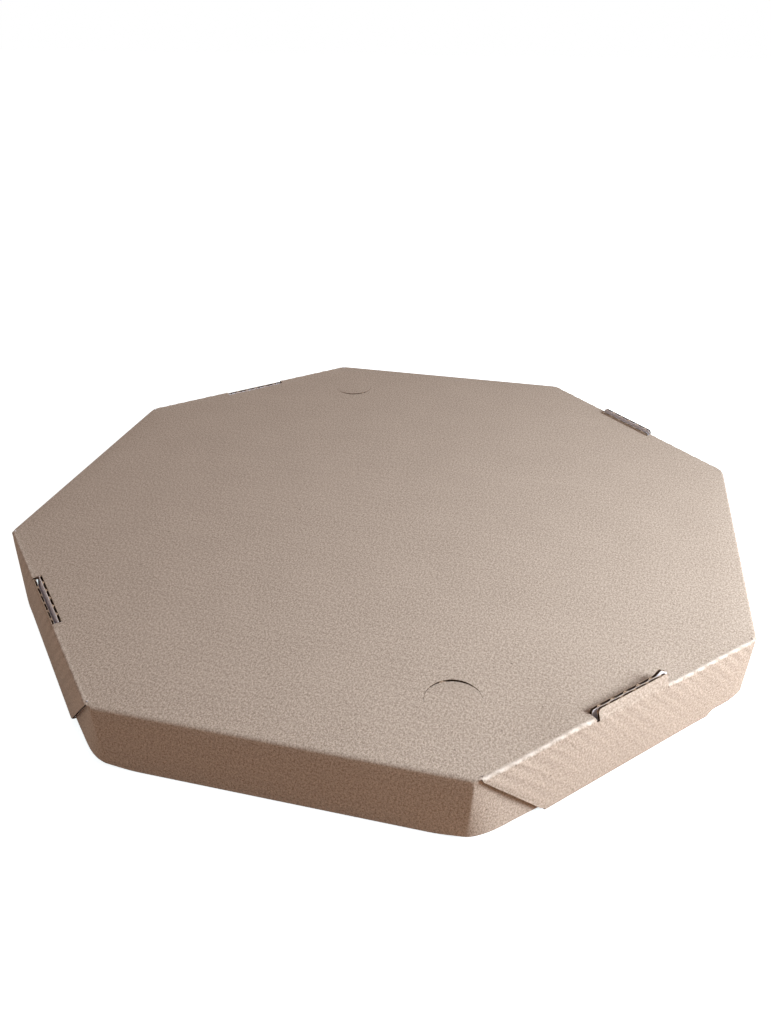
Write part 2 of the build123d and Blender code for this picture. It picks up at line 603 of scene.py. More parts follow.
    def lock_slit(self, index: int) -> tuple[Line, Line]:
        """Cut that frees a tongue from the panel, as (along, outwards).

        Args:
            index: Which double wall.

        Returns:
            The panel's side of the cut and the tongue's side, each from end to end.
        """
        lock, rounding = self.locks[index // 2], self.slot_round
        slot = self.slot / 2
        tongue, near = slot - lock.play, slot - lock.trim
        back = self.diagonal - lock.back
        level = back + self.slot_kerf + rounding
        panel_side = [
            (slot, self.root), (slot, self.double_start), (slot, back),
            (-near, back), (-near, self.double_start), (-near, self.root),
        ]
        tongue_side = [
            (-tongue, self.root),
            *arc((rounding - tongue, level), rounding, 180, 270),
            *arc((tongue - rounding, level), rounding, 270, 360),
            (tongue, self.root),
        ]
        return [(a + lock.shift, o) for a, o in panel_side], [(a + lock.shift, o) for a, o in tongue_side]

    def resampled(self, corners: np.ndarray) -> np.ndarray:
        """Divide each straight run so that no step crosses more than an eighth of a flute.

        Args:
            corners: Corners of a line in the blank.

        Returns:
            Points along the line, without its last corner.
        """
        runs = []
        for begin, end in zip(corners[:-1], corners[1:]):
            length = np.linalg.norm(end - begin)
            crossing = abs(end[1] - begin[1])
            count = max(1, math.ceil(length / LONGEST_STEP), math.ceil(crossing / (self.board.pitch / 8)))
            runs.append(begin + np.linspace(0.0, 1.0, count, endpoint=False)[:, None] * (end - begin))
        return np.concatenate(runs)

    def cut_loops(self) -> tuple[list[Blank], list[np.ndarray]]:
        """Every closed cut of the blank, with the sheet to its left.

        Returns:
            The finely divided loops, and the same loops by their corners alone.
        """
        rim, corners = [], []
        for index, wall in enumerate(WALLS):
            line = wall.line(self.outline(index), self.start(wall.double))
            rim.append(Blank.of(self.resampled(line), wall.zone, index))
            corners.append(line[:-1])
        loops, outlines = [Blank.joined(rim)], [np.concatenate(corners)]
        for index, wall in enumerate(WALLS):
            if wall.double:
                panel_side, tongue_side = self.lock_slit(index)
                first = self.resampled(wall.line(panel_side + tongue_side[:1]))
                second = self.resampled(wall.line(tongue_side + panel_side[:1]))
                slit = Blank.of(first, Zone.PANEL, index)
                slit.zone[first @ wall.out > self.double_start + NEAR] = Zone.DOUBLE
                loops.append(Blank.joined([slit, Blank.of(second, Zone.TONGUE, index)]))
                outlines.append(wall.line(panel_side + tongue_side))
        for slit in self.vent_slits():
            loops.append(Blank.of(self.resampled(np.concatenate([slit, slit[:1]])), Zone.PANEL))
            outlines.append(slit)
        return loops, outlines

    def rows(self, index: int) -> list[tuple[np.ndarray, np.ndarray]]:
        """Rows of points inside a wall, closer together where it bends and near a flap's lower edge.

        Args:
            index: Which wall.

        Returns:
            For each row its points along the wall and their distances past the fold.
        """
        double = WALLS[index].double
        track = self.double_track if double else self.single_track
        fine, plain = evenly(-WALL_SPAN, WALL_SPAN, FINE_STEP), evenly(-WALL_SPAN, WALL_SPAN, 6.0)
        if double:
            extra = [(fine, self.double_arc + drop) for drop in (0.8, 1.8, 3.2)]
        else:
            turn = self.crease
            near, far = turn - 14.0, turn + 12.0
            side = np.concatenate((
                evenly(near, turn - 7.0, 1.6), evenly(turn - 6.4, turn + 1.0, 0.5),
                evenly(turn + 2.6, far, 1.6), evenly(far + 6.0, FLAP_SPAN, 7.0),
            ))
            plain = np.concatenate((-side[::-1], evenly(6.0 - near, near - 6.0, 7.0), side))
            flap = evenly(turn + 1.0, FLAP_SPAN, 1.8)
            both = np.concatenate((-flap[::-1], flap))
            extra = [(both, track.knots[-1] - drop) for drop in (1.2, 2.4, 3.8, 5.4)]
        levels = []
        for (length, bend), begin in zip(track.pieces, track.knots):
            if bend == 0.0:
                levels += [(plain, level) for level in evenly(begin, begin + length, 5.0)[1:-1]]
            else:
                across = fine if begin == 0.0 else evenly(-WALL_SPAN, WALL_SPAN, 4.0)
                step = max(length / 6, 0.35)
                levels += [(across, level) for level in evenly(begin, begin + length, step)]
        return [(a, np.full_like(a, level)) for a, level in levels + extra]

    def wall_points(self, index: int) -> list[Blank]:
        """Points inside one wall and, if it is a double one, inside its tongue.

        Args:
            index: Which wall.

        Returns:
            Sets of points.
        """
        wall, own, sets = WALLS[index], [np.array(self.outline(index))], []
        start, limit = self.start(wall.double), self.corner(wall.double) - CLEAR
        lock, slot = self.locks[index // 2], self.slot / 2
        for a, s in self.rows(index):
            keep = (s < NEAR) & (np.abs(a) < limit)
            keep |= inside(np.stack([a, s], axis=1), own)
            if wall.double:
                keep &= (np.abs(a - lock.shift) >= slot) | (start + s >= self.root - NEAR)
            sets.append(Blank.of(wall.to_blank(a[keep], start + s[keep]), wall.zone, index))
        if wall.double:
            back = self.diagonal - lock.back + self.slot_kerf
            grids = np.meshgrid(evenly(-slot, slot, 3.0), evenly(back, self.root, 2.2))
            a, o = (grid.ravel() for grid in grids)
            keep = np.abs(a) < slot - lock.play
            sets.append(Blank.of(wall.to_blank(a[keep] + lock.shift, o[keep]), Zone.TONGUE, index))
        return sets

    def interior(self, outlines: list[np.ndarray]) -> Blank:
        """Points inside the blank, kept a little clear of its cuts.

        Args:
            outlines: Corners of the cuts.

        Returns:
            The points of the walls, of the panel and of the strips beside its slanting folds.
        """
        sets = [points for index in range(len(WALLS)) for points in self.wall_points(index)]
        grid = np.arange(-self.face, self.face + 1.0, PANEL_STEP)
        panel = np.stack([axis.ravel() for axis in np.meshgrid(grid, grid)], axis=1)
        room = np.min([self.start(wall.double) - panel @ wall.out for wall in WALLS], axis=0)
        sets.append(Blank.of(panel[room > 8.0], Zone.PANEL))
        singles = [wall.out for wall in WALLS if not wall.double]
        for index, wall in enumerate(WALLS):
            if wall.double:
                a, inset = np.meshgrid(evenly(-WALL_SPAN, WALL_SPAN, FINE_STEP), (0.7, 1.5, 2.6, 4.5))
                lip = wall.to_blank(a.ravel(), self.double_start - inset.ravel())
                room = np.min([self.single_start - lip @ out for out in singles], axis=0)
                free = np.abs(a.ravel() - self.locks[index // 2].shift) > self.slot / 2 + 0.5
                sets.append(Blank.of(lip[(room > 0.6) & free], Zone.PANEL))
        points = Blank.joined(sets)
        return points.chosen(inside(points.xy, outlines) & (clearance(points.xy, outlines) > CLEAR))

    def fold(self, blank: Blank) -> np.ndarray:
        """Places of the sheet's outer face after folding.

        Args:
            blank: Points of the flat sheet.

        Returns:
            One (x, y, z) row for each point, panel face at height 0.
        """
        placed = np.zeros((len(blank.xy), 3))
        panel = blank.zone == Zone.PANEL
        placed[panel, :2] = blank.xy[panel]
        placed[panel, 2] = self.lift(blank.xy[panel]) + self.lip_rise(blank.xy[panel])
        folds = {Zone.SINGLE: self.fold_single, Zone.DOUBLE: self.fold_double, Zone.TONGUE: self.fold_tongue}
        for index, wall in enumerate(WALLS):
            for zone, fold_zone in folds.items():
                chosen = (blank.wall == index) & (blank.zone == zone)
                if chosen.any():
                    a, o = blank.xy[chosen] @ wall.along, blank.xy[chosen] @ wall.out
                    a, o, placed[chosen, 2] = fold_zone(index, a, o)
                    placed[chosen, :2] = wall.to_blank(a, o)
        return placed

    def fold_single(self, index: int, a: np.ndarray, o: np.ndarray) -> Folded:
        """Carry a single wall down over its fold and its ends round the corners.

        In plan the strip runs straight, then on an arc of an eighth turn, then straight inside the
        double wall. The arc's radius grows from the fold to the lower edge.

        Args:
            index: Which wall.
            a: Places along the wall in the blank.
            o: Places outwards in the blank.

        Returns:
            Places along, outwards and up after folding.
        """
        past = o - self.single_start
        out, up = self.single_track.at(past)
        side, reach = np.sign(a), np.abs(a)
        depth = np.clip(-up / self.wall, 0.0, 1.0)
        crease = self.crease - self.crease_shift - self.crease_lean * depth
        radius = self.bend_top + (self.bend_low - self.bend_top) * depth
        tangent = crease - radius * math.tan(EIGHTH / 2)
        turned = np.clip((reach - tangent) / radius, 0.0, EIGHTH)
        beyond = np.maximum(reach - tangent - radius * EIGHTH, 0.0)
        past_bend = np.maximum(reach - crease, 0.0)
        tuck = (self.board.ply - self.crease_shift / SQRT2) * smooth_step(0.0, self.tuck_reach, past_bend)
        spread = depth * (1.0 - np.exp(-past_bend / self.spring))
        inner = self.half_double - past_bend
        before, after = (index - 1) % 8, (index + 1) % 8
        flare = np.where(side > 0, self.flap_flare(before, -inner), self.flap_flare(after, inner))
        shift = (flare * spread - tuck) / SQRT2
        bent = np.minimum(reach, tangent) + radius * np.sin(turned) + beyond / SQRT2 + shift
        drawn_in = radius * (1.0 - np.cos(turned)) + beyond / SQRT2 - shift
        free = smooth_step(0.0, self.single_arc, past)
        run = reach + free * (bent - reach)
        fold_line = np.clip(a, -self.crease, self.crease), np.full_like(a, self.single_start)
        return side * run, out - free * drawn_in, up + self.lift(WALLS[index].to_blank(*fold_line))

    def fold_double(self, index: int, a: np.ndarray, o: np.ndarray) -> Folded:
        """Carry a double wall down its outer leaf, round the roll and up its inner leaf.

        Where the fold crosses the flutes the crushed board leaves a low ridge with a tooth on each flute.

        Args:
            index: Which wall.
            a: Places along the wall in the blank.
            o: Places outwards in the blank.

        Returns:
            Places along, outwards and up after folding.
        """
        lock, knots = self.locks[index // 2], self.double_track.knots
        past = o - self.double_start
        out, up = self.double_track.at(past)
        below = np.maximum(past - self.double_arc, 0.0)
        rise = self.ridge_at(past, a) + self.lip * np.clip(1.0 - past / self.double_arc, 0.0, 1.0)
        rise = rise - self.dent * (1.0 - self.teeth(a)) * below * np.exp(1.0 - below)
        angle = np.clip(past / self.double_fold, 0.0, QUARTER)
        out = out + rise * np.sin(angle)
        up = up + rise * np.cos(angle)
        depth = np.clip(-up / self.wall, 0.0, 1.0)
        end = np.clip((past - knots[8]) / (knots[-1] - knots[8]), 0.0, 1.0)
        out = out + self.flare(index, a) * depth - lock.tab_lean * end
        from_ear = a - lock.shift + self.slot / 2 - self.ear_inset
        ear = lock.ear * np.exp(-((from_ear / self.ear_width) ** 2))
        up = up + (lock.tilt * a + ear) * end
        fold_line = WALLS[index].to_blank(a, np.full_like(a, self.double_start))
        return a, out, up + self.lift(fold_line) * np.clip(1.0 - past / knots[2], 0.0, 1.0)

    def fold_tongue(self, index: int, a: np.ndarray, o: np.ndarray) -> Folded:
        """Stand a tongue up in line with the outer leaf below it.

        Args:
            index: Which wall.
            a: Places along the wall in the blank.
            o: Places outwards in the blank.

        Returns:
            Places along, outwards and up after folding.
        """
        lock = self.locks[index // 2]
        back = self.diagonal - lock.back + self.slot_kerf
        share = (self.root - o) / (self.root - back)
        up = -self.double_fold + share * (self.double_fold + lock.rise + lock.tilt * a)
        out = self.diagonal - self.flare(index, a) * up / self.wall - lock.lean * np.maximum(share, 0.0)
        fold_line = WALLS[index].to_blank(a, np.full_like(a, self.double_start))
        return a, out, up + self.lift(fold_line) * np.clip(1.0 - share, 0.0, 1.0)

    def teeth(self, a: np.ndarray) -> np.ndarray:
        """Uneven teeth along a slanting fold: the flutes' beat and two odd ones.

        Args:
            a: Places along the fold.

        Returns:
            Heights from 0 to 1.
        """
        beat = 2 * math.pi / (self.board.pitch * SQRT2)
        wave = 0.30 * np.cos(beat * a) + 0.22 * np.sin(2.3 * beat * a + 1.0)
        return np.clip(0.5 + wave + 0.18 * np.sin(0.61 * beat * a + 2.0), 0.0, 1.0)

    def ridge_at(self, past: np.ndarray, a: np.ndarray) -> np.ndarray:
        """Height of the toothed ridge at distances past a slanting fold and places along it."""
        crest = np.clip(1.0 - np.abs(past / self.double_arc - 0.25) / 0.6, 0.0, 1.0)
        return self.ridge * crest * self.teeth(a)

    def lip_rise(self, xy: np.ndarray) -> np.ndarray:
        """Height of the panel where it swells towards a slanting fold: an exponential of the distance.

        Args:
            xy: Points of the panel.

        Returns:
            One height for each point, with the ridge of the fold.
        """
        height = np.zeros(len(xy))
        for wall in WALLS:
            if wall.double:
                inset = self.double_start - xy @ wall.out
                height += self.lip * np.exp(-inset / self.lip_reach) + self.ridge_at(-inset, xy @ wall.along)
        return height

    def surface(self, blank: Blank) -> tuple[np.ndarray, np.ndarray, np.ndarray, np.ndarray]:
        """Places, normals and the two tangents of the folded outer face, by central differences.

        Args:
            blank: Points of the flat sheet.

        Returns:
            Places, unit normals, and what a millimetre along X and along Y of the blank becomes.
        """
        step = 0.02
        placed = self.fold(blank)
        tangent_x = (self.fold(blank.moved(step, 0)) - self.fold(blank.moved(-step, 0))) / (2 * step)
        tangent_y = (self.fold(blank.moved(0, step)) - self.fold(blank.moved(0, -step))) / (2 * step)
        normal = np.cross(tangent_x, tangent_y)
        normal /= np.linalg.norm(normal, axis=1)[:, None]
        return placed, normal, tangent_x, tangent_y

    def mesh(self, name: str, place: Matrix) -> bpy.types.Mesh:
        """Mesh of the whole sheet: outer face, white back and open flutes at every cut.

        Args:
            name: Name for the mesh.
            place: Matrix, in metres, from the sheet's frame to the box.

        Returns:
            The mesh, with the faces' materials numbered by Face and the blank as its UV map.
        """
        loops, outlines = self.cut_loops()
        blank = Blank.joined([*loops, self.interior(outlines)])
        cut_edges, start = [], 0
        for loop in loops:
            ring = np.arange(start, start + len(loop.xy))
            cut_edges.append(np.stack([ring, np.roll(ring, -1)], axis=1))
            start += len(ring)
        ring_edges = np.concatenate(cut_edges)
        found = delaunay_2d_cdt([Vector(p) for p in blank.xy.tolist()], ring_edges.tolist(), [], 0, 1e-7)
        if len(found[0]) != len(blank.xy):
            raise ValueError(f"{name}: the blank's cuts cross, {len(found[0])} points from {len(blank.xy)}")
        order = np.array([ids[0] for ids in found[3]])
        triangles = order[np.array(found[2])]
        corner = blank.xy[triangles]
        twice = np.cross(corner[:, 1] - corner[:, 0], corner[:, 2] - corner[:, 0])
        triangles[twice < 0] = triangles[twice < 0][:, ::-1]
        triangles = triangles[inside(corner.mean(axis=1), outlines) & (np.abs(twice) > 1e-9)]
        thickness = self.board.depth_at(clearance(blank.xy, outlines))
        points, faces, flat = self.thickened(blank, thickness, triangles, ring_edges)
        points = points @ np.array(place.to_3x3()).T + np.array(place.to_translation())
        return mesh_of(name, points, faces, flat)

    def thickened(
        self, blank: Blank, thickness: np.ndarray, triangles: np.ndarray, ring_edges: np.ndarray
    ) -> tuple[np.ndarray, list[tuple[Face, np.ndarray]], np.ndarray]:
        """Give the folded face its back and its cut edges.

        At a cut the section runs from the outer face over the liner, back into the open flute, out
        along the core, and over the inner liner to the white back.

        Args:
            blank: Points of the flat sheet, those of the cuts first.
            thickness: Thickness of the board at each point.
            triangles: Faces of the outer side.
            ring_edges: Pairs of points along the cuts.

        Returns:
            Points in metres, groups of faces with their material, and each point's place in the blank.
        """
        board = self.board
        placed, normal, tangent_x, tangent_y = self.surface(blank)
        count = len(placed)
        back = placed - thickness[:, None] * normal

        ring, following = ring_edges[:, 0], ring_edges[:, 1]
        previous = np.empty_like(ring)
        previous[np.searchsorted(ring, following)] = ring
        run = blank.xy[following] - blank.xy[previous]
        run /= np.maximum(np.linalg.norm(run, axis=1), 1e-9)[:, None]
        inward = -run[:, 1, None] * tangent_x[ring] + run[:, 0, None] * tangent_y[ring]
        inward /= np.linalg.norm(inward, axis=1)[:, None]
        core, half = board.core_depth(blank.xy[ring, 1]), board.core / 2
        liner = np.full(len(ring), board.liner)
        levels = (liner, core - half, core + half, board.crushed - liner)
        depth = np.repeat(np.stack(levels, axis=1), 2, axis=1)
        recess = board.recess * np.array([0, 1, 1, 0, 0, 0, 0, 0])
        room = self.recess_share(blank.xy[ring])
        section = (
            placed[ring][:, None, :]
            - depth[:, :, None] * normal[ring][:, None, :]
            + (room[:, None] * recess)[:, :, None] * inward[:, None, :]
        )
        steps = section.shape[1]
        section_index = 2 * count + np.arange(len(ring) * steps).reshape(len(ring), steps)
        columns = np.concatenate([ring[:, None], section_index, ring[:, None] + count], axis=1)
        ahead = columns[np.searchsorted(ring, following)]
        quads = np.stack([ahead[:, :-1], columns[:, :-1], columns[:, 1:], ahead[:, 1:]], axis=2)
        quads = quads.reshape(-1, 4)

        points = np.concatenate([placed, back, section.reshape(-1, 3)]) * MM
        flat = np.concatenate([blank.xy, blank.xy, np.repeat(blank.xy[ring], steps, axis=0)]) * MM
        # The faces inside the open flutes take a near-black painted shade.
        kinds = np.tile([Face.CUT, *[Face.HOLLOW] * 3, *[Face.CUT] * 4, Face.WHITE], len(ring))
        faces = [(Face.KRAFT, triangles), (Face.WHITE, triangles[:, ::-1] + count)]
        faces += [(kind, quads[kinds == kind]) for kind in (Face.CUT, Face.HOLLOW, Face.WHITE)]
        return points, faces, flat

    def recess_share(self, xy: np.ndarray) -> np.ndarray:
        """Share of the full recess that fits behind a cut: little at the panel's corners and the locks.

        Args:
            xy: Points on the cuts of the blank.

        Returns:
            One share for each point, growing in proportion to the distance from the nearest such end.
        """
        share, slot = np.ones(len(xy)), self.slot / 2
        for index, wall in enumerate(WALLS):
            a, o = xy @ wall.along, xy @ wall.out
            if wall.double:
                lock = self.locks[index // 2]
                a = np.abs(a - lock.shift)
                gap = np.maximum(np.maximum(a - slot, slot - lock.play - a), 0.0)
                share = np.minimum(share, (np.hypot(gap, o - self.root) - 0.5) / 6.0)
                half_height = 0.5 * (self.double_fold + lock.rise)
                on_tongue = (a < slot) & (o < self.root) & (o > self.diagonal - lock.back + 0.1)
                share = np.where(on_tongue, np.minimum(share, half_height / self.board.recess), share)
            else:
                end = np.hypot(np.abs(a) - self.corner(False), o - self.single_start)
                share = np.minimum(share, (end - 2.0) / 8.0)
        return np.clip(share, 0.04, 1.0)

    def build(self, name: str, place: Matrix) -> bpy.types.Object:
        """Make the sheet's piece.

        Args:
            name: Name of the piece.
            place: Matrix, in metres, from the sheet's frame to the box.

        Returns:
            The piece, without materials.
        """
        piece = bpy.data.objects.new(name, self.mesh(name, place))
        bpy.context.scene.collection.objects.link(piece)
        LOG.info("%s: %d faces", name, len(piece.data.polygons))
        return piece

    def dress(self, piece: bpy.types.Object, groups: PaperGroups) -> None:
        """Give the piece its papers, in the order of Face."""
        for finish in (KRAFT, WHITE, CUT_EDGE, FLUTE_HOLLOW_SHADE):
            piece.data.materials.append(finish.material(groups, self, piece.name))


def mesh_of(
    name: str, points: np.ndarray, faces: list[tuple[Face, np.ndarray]], flat: np.ndarray
) -> bpy.types.Mesh:
    """Put arrays of points and faces into a new mesh.

    Args:
        name: Name for the mesh.
        points: One row of x, y and z for each vertex, in metres.
        faces: Groups of faces with their material, one row of vertex numbers for each face.
        flat: Place of each vertex in the blank, in metres, kept as the UV map.

    Returns:
        The mesh, smooth shaded with its cut edges sharp.
    """
    mesh = bpy.data.meshes.new(name)
    corners = np.concatenate([rows.ravel() for _, rows in faces]).astype(np.int32)
    totals = np.concatenate([np.full(len(rows), rows.shape[1]) for _, rows in faces]).astype(np.int32)
    starts = np.concatenate(([0], np.cumsum(totals)[:-1])).astype(np.int32)
    slots = np.concatenate([np.full(len(rows), int(kind)) for kind, rows in faces]).astype(np.int32)
    mesh.vertices.add(len(points))
    mesh.vertices.foreach_set("co", points.astype(np.float32).ravel())
    mesh.loops.add(len(corners))
    mesh.loops.foreach_set("vertex_index", corners)
    mesh.polygons.add(len(totals))
    mesh.polygons.foreach_set("loop_start", starts)
    mesh.polygons.foreach_set("loop_total", totals)
    mesh.polygons.foreach_set("material_index", slots)
    mesh.update(calc_edges=True)
    uv = mesh.uv_layers.new(name=BLANK_UV)
    uv.data.foreach_set("uv", flat[corners].astype(np.float32).ravel())
    mesh.polygons.foreach_set("use_smooth", np.ones(len(totals), bool))
    mesh.set_sharp_from_angle(angle=SHARP)
    mesh.validate()
    return mesh


@dataclass
class Lid(FoldedSheet):
    """The lid: a folded sheet with two steam vents, bowed up a little where it is locked.

    Attributes:
        vent_radius: Radius of the vents' half rings.
        vent_slit: Width of their cuts.
        vent_inset: Distance of their uncut chords inside the single walls' faces.
        vent_bearings: Directions of the vents from the middle, in degrees.
        vent_turns: How far each is turned from facing the middle, in degrees.
        vent_presses: How deep each is pressed in at its tip.
        flap_springs: How far the flaps stand out more than their wall, beside Y walls and X walls.
        flares: How far each double wall's lower edge stands out at its -a end and its +a end.
        flare_span: Half the length over which it goes from one to the other.
        bow_wall: Double wall at which the panel bows up.
        bow: Height of the bow.
        bow_reach: Distance from the fold over which it fades.
        swell_wall: Double wall beside which the panel is swollen.
        swells: Place along that wall and height of each swelling.
        swell_length: Half the length of a swelling.
        swell_reach: Distance from the fold over which it fades.
    """

    vent_radius: float = 14.4
    vent_slit: float = 0.16
    vent_inset: float = 31.0
    vent_bearings: tuple[float, ...] = (-67.0, 112.5)
    vent_turns: tuple[float, ...] = (-3.5, 0.0)
    vent_presses: tuple[float, ...] = (1.2, -0.7)
    flap_springs: tuple[float, float] = (2.3, 1.6)
    flares: tuple[tuple[float, float], ...] = ((1.7, 3.5), (1.0, 1.0), (1.0, 1.0), (4.5, 3.3))
    flare_span: float = 50.0
    bow_wall: int = 7
    bow: float = 0.2
    bow_reach: float = 60.0
    swell_wall: int = 1
    swells: tuple[tuple[float, float], ...] = ((34.0, 1.8), (-36.0, -0.6))
    swell_length: float = 24.0
    swell_reach: float = 14.0

    def vent_frames(self) -> list[tuple[np.ndarray, np.ndarray]]:
        """Where the vents are.

        Returns:
            Middle of each vent's uncut chord and the unit vector from it to the vent's tip.
        """
        frames = []
        for bearing, turn in zip(self.vent_bearings, self.vent_turns):
            angle, facing = math.radians(bearing), math.radians(bearing + turn)
            middle = (self.face - self.vent_inset) * np.array([math.cos(angle), math.sin(angle)])
            frames.append((middle, -np.array([math.cos(facing), math.sin(facing)])))
        return frames

    def vent_slits(self) -> list[np.ndarray]:
        """Half rings that bulge towards the centre, with the sheet to their left.

        Returns:
            Corners of each cut.
        """
        slits = []
        for middle, inward in self.vent_frames():
            sideways = np.array([-inward[1], inward[0]])
            angle = np.linspace(-QUARTER, QUARTER, 61)
            bow = np.cos(angle)[:, None] * inward + np.sin(angle)[:, None] * sideways
            outer = middle + (self.vent_radius + self.vent_slit / 2) * bow
            inner = middle + (self.vent_radius - self.vent_slit / 2) * bow
            slits.append(np.concatenate([outer[::-1], inner]))
        return slits

    def lift(self, xy: np.ndarray) -> np.ndarray:
        """Bow, swellings and pressed vents.

        The bow is a parabola along its fold, the swellings are bell curves along theirs, and both
        fade into the panel as bell curves.

        Args:
            xy: Points of the panel.

        Returns:
            Height of each above the flat plane.
        """
        bowed, swollen = WALLS[self.bow_wall], WALLS[self.swell_wall]
        inset = np.maximum(self.double_start - xy @ bowed.out, 0.0)
        height = self.bow * np.clip(1.0 - (xy @ bowed.along / self.half_double) ** 2, 0.0, 1.0)
        height *= np.exp(-((inset / self.bow_reach) ** 2))
        inset = np.maximum(self.double_start - xy @ swollen.out, 0.0) / self.swell_reach
        for middle, rise in self.swells:
            height += rise * np.exp(-(((xy @ swollen.along - middle) / self.swell_length) ** 2) - inset**2)
        for (middle, inward), press in zip(self.vent_frames(), self.vent_presses):
            local = xy - middle
            depth = local @ inward
            pressed = (depth > 0.0) & (np.hypot(local[:, 0], local[:, 1]) < self.vent_radius)
            height -= np.where(pressed, press * (depth / self.vent_radius) ** 2, 0.0)
        return height

    def flare(self, index: int, a: np.ndarray) -> np.ndarray:
        """Lower edges stand out, most at the end beside the front wall."""
        low, high = self.flares[index // 2]
        return low + (high - low) * np.clip((a + self.flare_span) / (2 * self.flare_span), 0.0, 1.0)

    def flap_flare(self, index: int, a: np.ndarray) -> np.ndarray:
        """The flaps spring out more at the ends beside the Y walls than at the others."""
        beside_y = (a > 0.0) == (index % 4 == 1)
        return self.flare(index, a) + np.where(beside_y, *self.flap_springs)


class Wiring:
    """Adds nodes to one node tree and joins their sockets."""

    def __init__(self, tree: bpy.types.NodeTree) -> None:
        """Work on this tree."""
        self.tree = tree

    def node(self, kind: str, inputs: dict | None = None, **settings: object) -> bpy.types.Node:
        """Add a node.

        Args:
            kind: Type of the node.
            inputs: Sockets by name or number, each with a value or with an output to link to it.
            settings: Properties of the node.

        Returns:
            The new node.
        """
        node = self.tree.nodes.new(kind)
        for key, value in settings.items():
            setattr(node, key, value)
        self.feed(node, inputs or {})
        return node

    def feed(self, node: bpy.types.Node, inputs: dict) -> None:
        """Set or link inputs of a node.

        Args:
            node: The node.
            inputs: Sockets by name or number, each with a value or with an output to link to it.
        """
        for key, value in inputs.items():
            socket = node.inputs[key]
            if isinstance(value, bpy.types.NodeSocket):
                self.tree.links.new(value, socket)
            else:
                socket.default_value = (*value, 1.0) if socket.type == "RGBA" else value

    def math(self, operation: str, *values: object, clamp: bool = False) -> bpy.types.NodeSocket:
        """Result of a Math node on up to three values or sockets."""
        inputs = dict(enumerate(values))
        return self.node("ShaderNodeMath", inputs, operation=operation, use_clamp=clamp).outputs[0]

    def noise(
        self, place: bpy.types.NodeSocket, scale: float, detail: float, rough: float = 0.5
    ) -> bpy.types.NodeSocket:
        """Flat noise.

        Args:
            place: Where to look it up.
            scale: Its scale.
            detail: Number of finer layers.
            rough: Weight of each finer layer.

        Returns:
            Values around 0, between about -1 and 1.
        """
        inputs = {"Vector": place, "Scale": scale, "Detail": detail, "Roughness": rough}
        noise = self.node("ShaderNodeTexNoise", inputs, noise_dimensions="2D")
        return self.math("MULTIPLY_ADD", noise.outputs["Fac"], 2.0, -1.0)

    def mix(self, share: object, first: object, second: object) -> bpy.types.NodeSocket:
        """Colour between two colours, the second one where share is 1."""
        return self.node("ShaderNodeMix", {0: share, 6: first, 7: second}, data_type="RGBA").outputs[2]


class PaperEffect(Enum):
    """Effects that the papers of the board share, with the inputs and the outputs of their groups."""

    GRAIN = ("paper_grain", ("Place",), ("Tone", "Height"))
    SPECKS = ("paper_specks", ("Place", "Share"), ("Mask",))
    FLUTES = ("flute_show", ("Place", "Pitch"), ("Wave",))
    FOLDS = ("fold_rub", ("Place", "Single", "Double", "Lock", "Pitch"), ("Rub", "Strain"))


